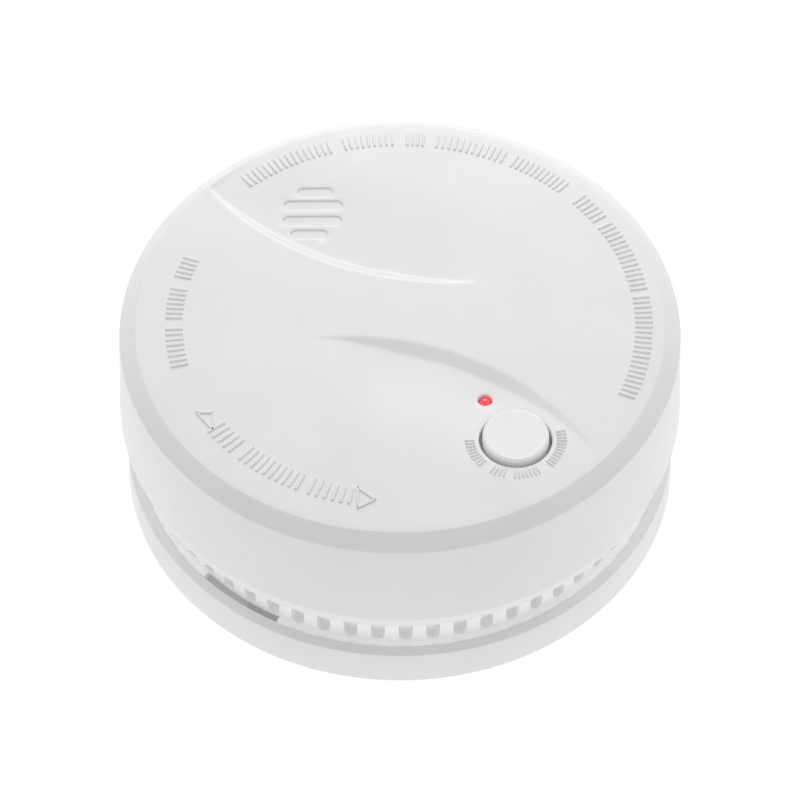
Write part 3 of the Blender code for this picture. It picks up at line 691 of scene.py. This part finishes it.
def lip(shell, ring, loop, outline_at, bottom_at):
    """From a loop in the face: over a rounded lip, then straight down to where bottom_at puts its foot."""
    top = face_height([p[0] for p in loop], [p[1] for p in loop])
    for turn_deg in (30, 60, 90):
        turn = math.radians(turn_deg)
        grow = LIP_FILLET * (1 - math.sin(turn))
        ring = shell.join(ring, shell.add_ring(outline_at(grow), top - LIP_FILLET * (1 - math.cos(turn))))
    return shell.join(ring, shell.add_ring(outline_at(0.0), bottom_at(top)))


def button_hole(grow=0.0):
    return circle(BUTTON_HOLE_RADIUS + grow, 96, BUTTON)


def lamp_hole(grow=0.0):
    return circle(LAMP_HOLE_RADIUS + grow, 40, LAMP)


def cover_section():
    """The cover in section, from the face's edge round the hem to the edge of the underside."""
    return rounded([
        (0.0, FACE_Z, 0.0), (FACE_RADIUS, FACE_Z, 0.35), (SHOULDER_RADIUS, SHOULDER_Z, 0.4),
        (SKIRT_RADIUS, SKIRT_Z, 0.1), (HEM_RADIUS, HEM_Z, 0.12),
        (BAND_RADIUS, HEM_Z, 1.2), (BAND_RADIUS, VENT_TOP_Z + 0.02, 0.0),
        (BAND_RADIUS - WALL, VENT_TOP_Z + 0.02, 0.0), (BAND_RADIUS - WALL, HEM_Z + WALL, 0.0),
        (HEM_RADIUS - WALL, HEM_Z + WALL, 0.0), (SHOULDER_RADIUS - WALL, SHOULDER_Z - 1.0, 0.0),
        (FACE_RADIUS - 0.7, FACE_UNDERSIDE_Z, 0.0), (0.0, FACE_UNDERSIDE_Z, 0.0),
    ], closed=False)[1:-1]


def make_cover():
    section = cover_section()
    through = (button_hole, lamp_hole)
    holes = [hole(LIP_FILLET) for hole in through] + grille_outlines(LIP_FILLET)
    outer = circle(section[0][0], SPOKES)
    shell = Shell()
    loops = shell.add_sheet(outer, holes, face_points([outer, *holes]), face_height)
    ring = loops[0]
    for radius, z in section[1:]:
        ring = shell.join(ring, shell.add_ring(circle(radius, SPOKES), z))
    inner = circle(section[-1][0] - 0.5, SPOKES)
    beneath = shell.add_sheet(inner, [hole() for hole in through], [], lambda x, y: 0 * x + FACE_UNDERSIDE_Z)
    shell.join(ring, beneath[0])
    for hole, top, loop, bottom in zip(through, loops[1:], holes, beneath[1:]):
        shell.join(lip(shell, top, loop, hole, lambda face_z: HOLE_EDGE_Z), bottom)
    for k, (top, loop) in enumerate(zip(loops[3:], holes[2:])):
        foot = lip(shell, top, loop, lambda grow: grille_outlines(grow)[k],
                   lambda face_z: face_z - GRILLE_DEPTH)
        shell.faces.append(list(foot))
    cover = make_object("cover_shell", shell.points, shell.faces, 40.0)
    return fit(cover, "alarm", "cover_white", "front_cover")


# ---------------------------------------------------------------- raised marks

def upright_bar(centre, long_deg, length, width, height=0.3):
    """A small raised bar with round ends and soft top edges, lying along a direction on the face."""
    turn = math.radians(long_deg)
    c, s = math.cos(turn), math.sin(turn)
    outline = [(centre[0] + c * x - s * y, centre[1] + s * x + c * y)
               for x, y in stadium(length, width, steps=4)]
    base = float(face_height(centre[0], centre[1]))
    return prism("bar", outline, base - 0.3, base + height, 0.12)


def bar_arc(centre, radius, groups, length, width, pitch):
    """Groups of upright bars along an arc; each group fills the span between two directions."""
    bars = []
    for start_deg, end_deg in groups:
        count = max(2, round(abs(math.radians(end_deg - start_deg)) * radius / pitch) + 1)
        for k in range(count):
            azimuth = start_deg + (end_deg - start_deg) * k / (count - 1)
            angle = math.radians(azimuth)
            spot = (centre[0] + radius * math.cos(angle), centre[1] + radius * math.sin(angle))
            bars.append(upright_bar(spot, azimuth, length, width))
    return bars


def arrow(tip, tail_a, tail_b, width=0.45):
    """An open triangle of three raised bars."""
    corners = [Vector(tip), Vector(tail_a), Vector(tail_b)]
    bars = []
    for a, b in zip(corners, corners[1:] + corners[:1]):
        along = b - a
        bars.append(upright_bar(tuple((a + b) / 2), math.degrees(math.atan2(along.y, along.x)),
                                along.length + width, width))
    return bars


def make_marks():
    """Plain bars in groups round the rim and the button, and two open arrows."""
    axis = (0.0, 0.0)
    long_arc = ((130.2, 107.5), (103.6, 91.9), (88.1, 84.3), (80.8, 64.0), (61.0, 46.7), (41.2, 33.5),
                (30.8, 9.6), (7.0, -23.4))
    left_arc = ((159.3, 165.6), (169.8, 179.3), (183.0, 195.0))
    front_arc = ((-142.8, -135.1), (-131.6, -115.4), (-112.2, -102.1))
    button_arc = ((-177.0, -137.0), (-121.0, -105.0), (-92.0, -62.0), (-44.0, 12.0))
    bars = bar_arc(axis, 43.8, long_arc, 3.2, 0.5, 1.15)
    bars += bar_arc(axis, 40.6, left_arc, 3.2, 0.5, 1.15)
    bars += bar_arc(axis, 40.5, front_arc, 3.9, 0.55, 1.3)
    bars += bar_arc((BUTTON.x, BUTTON.y), 8.1, button_arc, 1.8, 0.3, 0.75)
    bars += arrow((-35.8, -21.3), (-33.0, -21.3), (-32.9, -25.1))
    bars += arrow((-4.3, -40.5), (-7.3, -37.9), (-7.3, -42.3))
    fit(joined("raised_marks", bars), "alarm", "cover_white")


# ---------------------------------------------------------------- button and lamp

def make_button():
    top, underside = BUTTON_HIGH.z, FACE_UNDERSIDE_Z - 0.6
    profile = rounded([
        (0.0, top - 0.04, 0.0), (BUTTON_RADIUS - 0.7, top - 0.02, 0.2), (BUTTON_RADIUS - 0.45, top, 0.08),
        (BUTTON_RADIUS, top - 0.3, 0.12), (BUTTON_RADIUS, underside, 0.0),
        (7.4, underside, 0.0), (7.4, underside - 1.2, 0.0), (1.6, underside - 1.2, 0.0),
        (1.6, BUTTON_LOW.z, 0.0), (0.0, BUTTON_LOW.z, 0.0)], closed=False)
    button = turned("button_cap", profile, 96, BUTTON, ring=False)
    fit(button, "button", "button_white", "test_button")


def make_lamp():
    top = LAMP_HIGH.z
    profile = [(LAMP_RADIUS * math.sin(math.radians(a)), top - 0.5 * (1 - math.cos(math.radians(a))))
               for a in range(0, 91, 10)]
    profile += [(LAMP_RADIUS, LAMP_LOW.z), (0.0, LAMP_LOW.z)]
    lamp = turned("lamp_lens", profile, 40, LAMP, ring=False)
    fit(lamp, "alarm", "led_red", "led_light_pipe")


# ---------------------------------------------------------------- rear housing

BAY_X, BAY_Y = 27.6, (-27.5, 2.2)
BAY_WALL = 1.2
BAY_LOW_Z, BAY_TOP_Z = 3.6, HOUSING_HIGH.z
FOOT_CENTRES_DEG = (-122.5, -2.5, 117.5)
FOOT_WIDTH_DEG = 8.0
HINGE_Y, HINGE_Z = 4.2, 3.0
PIN_HOLE_RADIUS, KNUCKLE_RADIUS = 0.9, 1.6
HINGE_LUG_X, HINGE_LUG_WIDTH = 10.9, 4.5
DOOR_KNUCKLE_X, PIN_HOLE_X = 8.2, 20.0
BACK_RIB_X = (-18.0, -6.0, 6.0, 18.0)
LEAD_X = 22.6
LEAD_Y = (-8.65, -16.65)


def vent_tool():
    """One notch, round below and open above, repeated all round the band."""
    half = VENT_WIDTH / 2
    outline = arc(half, 180, 360, 10, (0.0, VENT_LOW_Z + half))
    outline += [(half, VENT_TOP_Z + 1.0), (-half, VENT_TOP_Z + 1.0)]
    tool = prism("vents", outline, BAND_RADIUS - WALL - 0.6, BAND_RADIUS + 0.5)
    tool.data.transform(ALONG_X)
    pitch = 360.0 / VENT_COUNT
    return spun(tool, [VENT_OFFSET_DEG + 90.0 + pitch * k for k in range(VENT_COUNT)])


def round_rectangle(low, high, radius, steps=6):
    """The outline of a rectangle with round corners, from two opposite corners."""
    inner_low, inner_high = (low[0] + radius, low[1] + radius), (high[0] - radius, high[1] - radius)
    corners = ((inner_high, 0), ((inner_low[0], inner_high[1]), 90), (inner_low, 180),
               ((inner_high[0], inner_low[1]), 270))
    return [p for centre, start in corners for p in arc(radius, start, start + 90, steps, centre)]


def sector(name, inner, outer, low, high, middle_deg, width_deg, fillet=0.0):
    """Part of a flat ring, swept round the axis, with its long edges rounded."""
    corners = ((outer, low), (inner, low), (inner, high), (outer, high))
    profile = rounded([(radius, z, fillet) for radius, z in corners])
    steps = max(2, round(width_deg))
    points, rings = [], []
    for k in range(steps + 1):
        angle = math.radians(middle_deg + width_deg * (k / steps - 0.5))
        rings.append(range(len(points), len(points) + len(profile)))
        points += [(r * math.cos(angle), r * math.sin(angle), z) for r, z in profile]
    faces = [list(rings[0]), list(rings[-1])]
    for a, b in zip(rings, rings[1:]):
        faces += strip(a, b)
    return make_object(name, points, faces)


def rod(name, radius, low_x, high_x, y, z, count=32):
    """A cylinder that lies along X."""
    obj = prism(name, circle(radius, count), low_x, high_x)
    return laid(obj, Vector((0.0, y, z)))


def screw_wells():
    return [middle_mm(f"housing_screw_{k}") for k in (1, 2, 3)]


def make_housing():
    wall_radius = BAND_RADIUS - WALL
    body = turned("housing_shell", rounded([
        (0.0, FLOOR_TOP_Z, 0.0), (wall_radius, FLOOR_TOP_Z, 0.3), (wall_radius, VENT_TOP_Z, 0.0),
        (BAND_RADIUS, VENT_TOP_Z, 0.0), (BAND_RADIUS, BAND_FOOT_Z, 0.4), (0.0, BAND_FOOT_Z, 0.0),
    ], closed=False), SPOKES, ring=False)
    carve(body, vent_tool())
    outline = round_rectangle((-BAY_X, BAY_Y[0]), (BAY_X, BAY_Y[1]), 1.5)
    carve(body, prism("bay", outline, BAY_LOW_Z, BAY_TOP_Z, 0.4), "UNION")
    hollow = round_rectangle((BAY_WALL - BAY_X, BAY_Y[0] + BAY_WALL),
                             (BAY_X - BAY_WALL, BAY_Y[1] - BAY_WALL), 0.8)
    carve(body, prism("hollow", hollow, BAY_LOW_Z - 1.0, BAY_TOP_Z - BAY_WALL))
    for lead_y in LEAD_Y:
        hole = circle(1.6, 32, (LEAD_X, lead_y))
        carve(body, prism("lead_hole", hole, BAY_TOP_Z - 3.0, BAY_TOP_Z + 1.0))
    for rib_x in BACK_RIB_X:
        rib = prism("rib", round_rectangle((rib_x - 0.5, 6.6), (rib_x + 0.5, 9.4), 0.3, 3), 6.4, 7.4)
        carve(body, rib, "UNION")
    for foot_deg in FOOT_CENTRES_DEG:
        leg = sector("leg", 44.3, 46.3, 2.6, BAND_FOOT_Z + 0.4, foot_deg, FOOT_WIDTH_DEG, 0.2)
        toe = sector("toe", 41.6, 44.8, 2.3, 3.7, foot_deg, FOOT_WIDTH_DEG - 0.8, 0.3)
        carve(body, leg, "UNION")
        carve(body, toe, "UNION")
    for well in screw_wells():
        carve(body, prism("boss", circle(3.6, 48, well), 6.4, 7.4, 0.0), "UNION")
        carve(body, prism("seat", circle(2.75, 48, well), 5.0, BAND_FOOT_Z + 0.05))
        carve(body, prism("well", circle(1.6, 32, well), 5.0, 10.0))
    add_hinge_lugs(body)
    return fit(body, "alarm", "cover_white", "rear_housing", look="housing_white")


def add_hinge_lugs(body):
    for side in (-1, 1):
        ends = (HINGE_LUG_X - HINGE_LUG_WIDTH / 2, HINGE_LUG_X + HINGE_LUG_WIDTH / 2)
        low, high = sorted(side * end for end in ends)
        outline = round_rectangle((low + 0.05, HINGE_Y - 1.5), (high - 0.05, HINGE_Y + 1.5), 0.3, 4)
        carve(body, prism("lug", outline, HINGE_Z, BAND_FOOT_Z + 0.4), "UNION")
        carve(body, rod("knuckle", KNUCKLE_RADIUS, low, high, HINGE_Y, HINGE_Z, 40), "UNION")
    carve(body, rod("pin_hole", PIN_HOLE_RADIUS, -PIN_HOLE_X, PIN_HOLE_X, HINGE_Y, HINGE_Z))


def make_rear_label():
    """A blank foil label on the housing's back."""
    outline = round_rectangle((-17.0, 12.5), (17.0, 28.5), 2.0)
    label = prism("rear_label", outline, BAND_FOOT_Z - 0.12, BAND_FOOT_Z - 0.01)
    fit(label, "alarm", "plated_steel")


def make_door():
    low_z, high_z = 1.8, 3.3
    outline = round_rectangle((-BAY_X, BAY_Y[0]), (BAY_X, BAY_Y[1]), 1.5)
    door = prism("door_panel", outline, -high_z, -low_z, 0.35)
    door.data.transform(Matrix.Diagonal((1, 1, -1, 1)))
    door.data.flip_normals()
    web = round_rectangle((-DOOR_KNUCKLE_X, 0.8), (DOOR_KNUCKLE_X, 3.6), 0.4, 3)
    carve(door, prism("web", web, low_z, high_z), "UNION")
    knuckle = rod("knuckle", KNUCKLE_RADIUS, -DOOR_KNUCKLE_X, DOOR_KNUCKLE_X, HINGE_Y, HINGE_Z, 40)
    carve(door, knuckle, "UNION")
    carve(door, rod("pin_hole", PIN_HOLE_RADIUS, -PIN_HOLE_X, PIN_HOLE_X, HINGE_Y, HINGE_Z))
    tab = round_rectangle((-5.0, BAY_Y[0] - 1.4), (5.0, BAY_Y[0] + 0.4), 0.5, 4)
    carve(door, prism("tab", tab, low_z, low_z + 1.1, 0.2), "UNION")
    grip_y = BAY_Y[0] + 5.2
    carve(door, prism("dish", stadium(16.0, 7.0, (0.0, grip_y), 16), low_z - 1.0, low_z + 0.55))
    for k in range(-2, 3):
        rib = stadium(12.0 - abs(k) * 1.6, 0.5, (0.0, grip_y + 1.2 * k), 5)
        carve(door, prism("rib", rib, low_z + 0.1, low_z + 0.7), "UNION")
    fit(door, "battery_door", "cover_white", "battery_door")


# ---------------------------------------------------------------- battery

def foot_of(low, high):
    """Middle of the end at low X of a piece that lies along X."""
    return Vector((low.x, (low.y + high.y) / 2, (low.z + high.z) / 2))


def make_battery():
    size = BATTERY_HIGH - BATTERY_LOW
    foot = foot_of(BATTERY_LOW, BATTERY_HIGH)
    half_y, half_z = size.y / 2, size.z / 2
    jacket = round_rectangle((0.2 - half_y, 0.2 - half_z), (half_y - 0.2, half_z - 0.2), 2.4, 8)
    sleeve = laid(prism("battery_sleeve", jacket, 0.5, size.x - 0.5, 0.2), foot)
    fit(sleeve, "alarm", "battery_jacket", "battery_case")
    rim = round_rectangle((-half_y, -half_z), (half_y, half_z), 2.6, 8)
    band = laid(prism("battery_band", rim, size.x - 9.0, size.x - 1.4), foot)
    fit(band, "alarm", "ceramic_white")
    for name, low, high in (("battery_rim_foot", 0.0, 1.3), ("battery_rim_head", size.x - 1.3, size.x)):
        fit(laid(prism(name, rim, low, high, 0.3), foot), "alarm", "plated_steel")


def make_terminals():
    terminals = (("battery_terminal_positive", 0.75, 0.35), ("battery_terminal_negative", 0.9, 0.62))
    for node, bulge, bore in terminals:
        low, high = box_mm(node)
        foot = foot_of(low, high)
        radius, height = (high.z - low.z) / 2, high.x - low.x
        hollow = radius * bore
        profile = rounded([
            (radius, 0.0, 0.0), (radius, 0.35, 0.1), (radius * bulge, 0.5, 0.15),
            (radius * 0.95, height - 0.45, 0.25), (radius * 0.85, height, 0.15),
            (hollow, height, 0.12), (hollow, 0.5, 0.1), (0.0, 0.5, 0.0), (0.0, 0.0, 0.0),
        ], closed=False)
        stud = turned("stud", [(0.0, 0.0), *profile[:-1]], 48, ring=False)
        stud.name = node.replace("battery_terminal", "snap_stud")
        fit(laid(stud, foot), "alarm", "plated_steel", node)


def make_connector():
    low, high = box_mm("snap_connector")
    foot = foot_of(low, high)
    half_y, half_z = (high.y - low.y) / 2, (high.z - low.z) / 2
    outline = round_rectangle((-half_y, -half_z), (half_y, half_z), 3.6, 8)
    thickness = high.x - low.x
    plate = prism("connector_cap", outline, 0.0, thickness, 0.5)
    dish = round_rectangle((2.5 - half_y, 2.2 - half_z), (half_y - 2.5, half_z - 2.2), 1.8, 6)
    carve(plate, prism("dish", dish, thickness - 0.3, thickness + 1.0))
    fit(laid(plate, foot), "alarm", "connector_black", "snap_connector")


# ---------------------------------------------------------------- screws and seal

HEAD_HEIGHT, SHANK_RADIUS, ROOT_RADIUS, THREAD_PITCH = 1.4, 1.2, 0.95, 0.9


def make_screw(node):
    """A pan-head screw, head down, with a cross recess and a coarse thread."""
    low, high = box_mm(node)
    centre = (low + high) / 2
    head_radius, head_top = (high.x - low.x) / 2, low.z + HEAD_HEIGHT
    profile = [(0.0, high.z), (0.3, high.z)]
    crest = high.z - 1.2
    while crest - THREAD_PITCH > head_top + 0.5:
        profile += [(ROOT_RADIUS, crest + THREAD_PITCH / 2),
                    (SHANK_RADIUS, crest + 0.08), (SHANK_RADIUS, crest - 0.08)]
        crest -= THREAD_PITCH
    profile += rounded([
        (ROOT_RADIUS, crest, 0.0), (ROOT_RADIUS, head_top, 0.0), (head_radius, head_top, 0.12),
        (head_radius, low.z + 0.5, 0.3), (head_radius - 0.7, low.z, 0.3), (0.0, low.z, 0.0)], closed=False)
    screw = turned(node + "_fine", profile, 40, centre, ring=False)
    for wide, deep in ((2.9, 0.55), (0.55, 2.9)):
        arm = round_rectangle((centre.x - wide / 2, centre.y - deep / 2),
                              (centre.x + wide / 2, centre.y + deep / 2), 0.15, 2)
        carve(screw, prism("recess", arm, low.z - 0.5, low.z + 0.9))
    fit(screw, "alarm", "steel", node)


def make_seal():
    low, high = box_mm("draught_seal")
    inner = high.x - 3.1
    ring = turned("foam_ring", rounded([
        (high.x, low.z, 0.15), (inner, low.z, 0.15), (inner, high.z, 0.25), (high.x, high.z, 0.25)]))
    fit(ring, "seal", "seal_grey", "draught_seal")


# ---------------------------------------------------------------- bracket

LUG_RADIUS, LUG_DEG = 30.5, 20.0
SLOT_X, SLOT_Y = 35.0, 5.0
WINDOW_DEG, TWIST_DEG = 20.0, 15.0


def make_bracket():
    back, crest, lip_z = BRACKET_HIGH.x, 7.9, 7.27
    inner = back - 1.84
    ring = turned("bracket_ring", rounded([
        (back - 0.28, lip_z, 0.2), (back, 0.0, 0.15), (inner, 0.0, 0.2), (inner, 4.0, 0.3),
        (39.5, 4.0, 0.3), (39.5, 5.6, 0.3), (46.7, 5.6, 0.2), (46.7, 6.95, 0.1), (47.5, 6.95, 0.2),
        (48.3, 6.7, 0.3), (48.7, crest, 0.2)]), SPOKES)
    for slot_x in (SLOT_X, -SLOT_X):
        middle_deg = math.degrees(math.atan2(SLOT_Y, slot_x))
        carve(ring, sector("lug", LUG_RADIUS, inner + 0.6, 0.0, 2.0, middle_deg, LUG_DEG, 0.25), "UNION")
        carve(ring, sector("seat", LUG_RADIUS + 0.3, 39.2, 1.6, 2.4, middle_deg, LUG_DEG - 3.0, 0.2), "UNION")
        carve(ring, prism("slot", stadium(7.0, 4.6, (slot_x, SLOT_Y), 16), -1.0, 4.0))
    entry_deg = FOOT_WIDTH_DEG + 3.0
    windows = ((43.9, 46.7, TWIST_DEG + entry_deg), (41.2, 44.5, entry_deg), (46.1, 48.45, WINDOW_DEG))
    for foot_deg in FOOT_CENTRES_DEG:
        edge_deg = foot_deg + FOOT_WIDTH_DEG / 2 + 1.0
        for low, high, width_deg in windows:
            carve(ring, sector("window", low, high, 3.5, 8.9, edge_deg - width_deg / 2, width_deg))
    fit(ring, "bracket", "bracket_white", "mounting_bracket")


make_camera()
make_studio()
make_looks()
dress_cad_nodes()
make_cover()
make_marks()
make_button()
make_lamp()
make_housing()
make_rear_label()
make_door()
make_battery()
make_terminals()
make_connector()
for node_name in frame["nodes"]:
    if "_screw_" in node_name:
        make_screw(node_name)
make_seal()
make_bracket()
